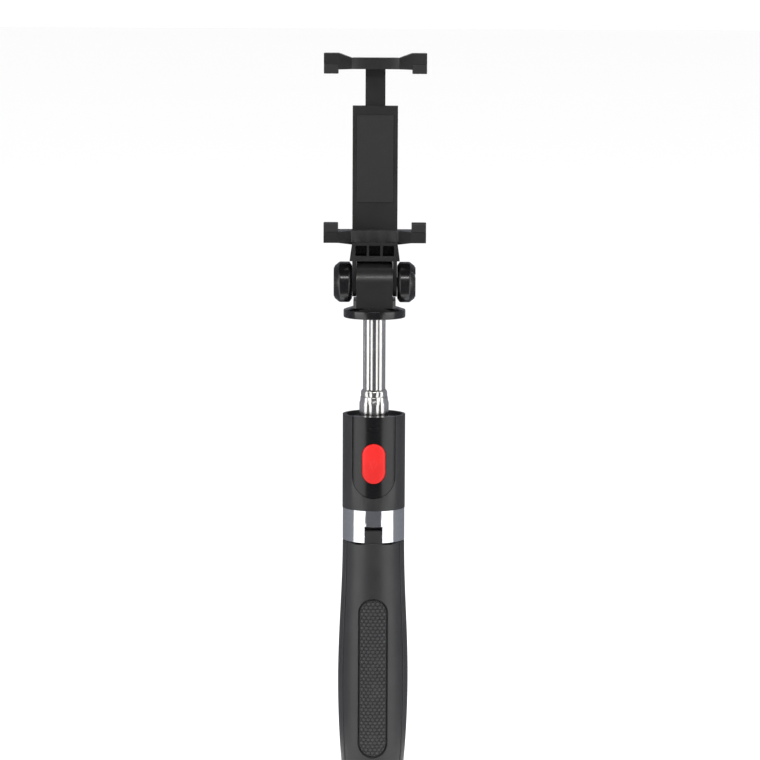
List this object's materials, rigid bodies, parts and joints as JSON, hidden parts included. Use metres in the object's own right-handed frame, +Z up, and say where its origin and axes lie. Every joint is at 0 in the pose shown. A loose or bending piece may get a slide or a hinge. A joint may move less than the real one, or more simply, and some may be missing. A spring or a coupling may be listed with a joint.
{
  "type": "selfie stick",
  "caption": "Telescopic selfie stick whose handle splits into tripod legs, with a slide-out remote, a tilt head with side knobs and a spring clamp for a phone.",
  "frame": {"origin": "middle of the footprint of the three closed legs, on the surface they stand on", "axes": "+Z up along the pole, -Y the front with the shutter button, +X the side of the turning knob"},
  "size_m": [0.045, 0.0317, 0.3397],
  "materials": {
    "handle_plastic": "fine matte grain",
    "dark_plastic": "satin",
    "remote_plastic": "satin gloss",
    "head_plastic": "satin, fine texture",
    "gloss_black": "polished",
    "button_red": "satin",
    "chrome_ring": "mirror",
    "tube_steel": "bright drawn",
    "aluminium_tube": "plain",
    "steel": "turned",
    "brass": "turned",
    "nylon": "plain",
    "grip_rubber": "matte",
    "tip_rubber": "matte",
    "board": "solder mask",
    "clear_guide": "clear"
  },
  "bodies": {
    "handle": {"housing_shell": "handle_plastic", "housing_cap": "dark_plastic", "hinge_ring": "chrome_ring", "hinge_hub": "dark_plastic", "leg_pins": "steel", "pole_sleeve": "aluminium_tube", "sleeve_collar": "nylon"},
    "leg_front": {"leg_shell_front": "handle_plastic", "leg_liner_front": "dark_plastic", "leg_pad_front": "grip_rubber", "leg_foot_front": "grip_rubber"},
    "leg_right": {"leg_shell_right": "handle_plastic", "leg_liner_right": "dark_plastic", "leg_pad_right": "grip_rubber", "leg_foot_right": "grip_rubber"},
    "leg_left": {"leg_shell_left": "handle_plastic", "leg_liner_left": "dark_plastic", "leg_pad_left": "grip_rubber", "leg_foot_left": "grip_rubber"},
    "remote": {"remote_cover": "remote_plastic", "remote_back": "remote_plastic", "circuit_board": "board", "tact_switch": "steel", "battery_cell": "steel", "light_guide": "clear_guide"},
    "button": {"shutter_button": "button_red"},
    "outer_pole": {"outer_tube": "tube_steel", "outer_bush": "nylon"},
    "middle_pole": {"middle_tube": "tube_steel", "middle_bush": "nylon"},
    "inner_pole": {"inner_tube": "tube_steel", "inner_bush": "nylon", "pole_cap": "gloss_black", "tilt_block": "head_plastic"},
    "clamp": {"clamp_frame": "head_plastic", "tilt_bolt": "steel", "left_knob": "gloss_black", "friction_washers": "brass", "lower_tip_left": "tip_rubber", "lower_tip_right": "tip_rubber", "back_pad": "tip_rubber", "rear_cover": "head_plastic", "cover_screws": "steel", "spring_left": "steel", "spring_right": "steel"},
    "tilt_knob": {"right_knob": "gloss_black", "knob_nut": "brass"},
    "jaw": {"clamp_slider": "head_plastic", "upper_tip_left": "tip_rubber", "upper_tip_right": "tip_rubber"}
  },
  "joints": [
    {"name": "leg_front_hinge", "type": "hinge", "parent": "handle", "child": "leg_front", "pos_m": [0, -0.0116, 0.1262], "axis": [-1, 0, 0], "range_deg": [0, 55]},
    {"name": "leg_right_hinge", "type": "hinge", "parent": "handle", "child": "leg_right", "pos_m": [0.01005, 0.0058, 0.1262], "axis": [0.5, -0.866, 0], "range_deg": [0, 55]},
    {"name": "leg_left_hinge", "type": "hinge", "parent": "handle", "child": "leg_left", "pos_m": [-0.01005, 0.0058, 0.1262], "axis": [0.5, 0.866, 0], "range_deg": [0, 55]},
    {"name": "outer_pole_slide", "type": "slide", "parent": "handle", "child": "outer_pole", "axis": [0, 0, 1], "range_m": [-0.0077, 0.11]},
    {"name": "middle_pole_slide", "type": "slide", "parent": "outer_pole", "child": "middle_pole", "axis": [0, 0, 1], "range_m": [-0.0031, 0.11]},
    {"name": "inner_pole_slide", "type": "slide", "parent": "middle_pole", "child": "inner_pole", "axis": [0, 0, 1], "range_m": [-0.0322, 0.095]},
    {"name": "clamp_tilt", "type": "hinge", "parent": "inner_pole", "child": "clamp", "pos_m": [0, 0, 0.2388], "axis": [1, 0, 0], "range_deg": [-90, 90]},
    {"name": "tilt_knob_turn", "type": "hinge", "parent": "clamp", "child": "tilt_knob", "pos_m": [0.014, 0, 0.2388], "axis": [1, 0, 0], "range_deg": [-180, 180]},
    {"name": "jaw_slide", "type": "slide", "parent": "clamp", "child": "jaw", "axis": [0, 0, 1], "range_m": [-0.0155, 0.014], "stiffness_N_per_m": 90, "springref_m": -0.075, "deforming": ["spring_left", "spring_right"]},
    {"name": "remote_slide", "type": "slide", "parent": "handle", "child": "remote", "axis": [0, 0, 1], "range_m": [0, 0.038]},
    {"name": "button_press", "type": "slide", "parent": "remote", "child": "button", "axis": [0, 1, 0], "range_m": [0, 0.0004], "stiffness_N_per_m": 800, "springref_m": -0.0008}
  ]
}
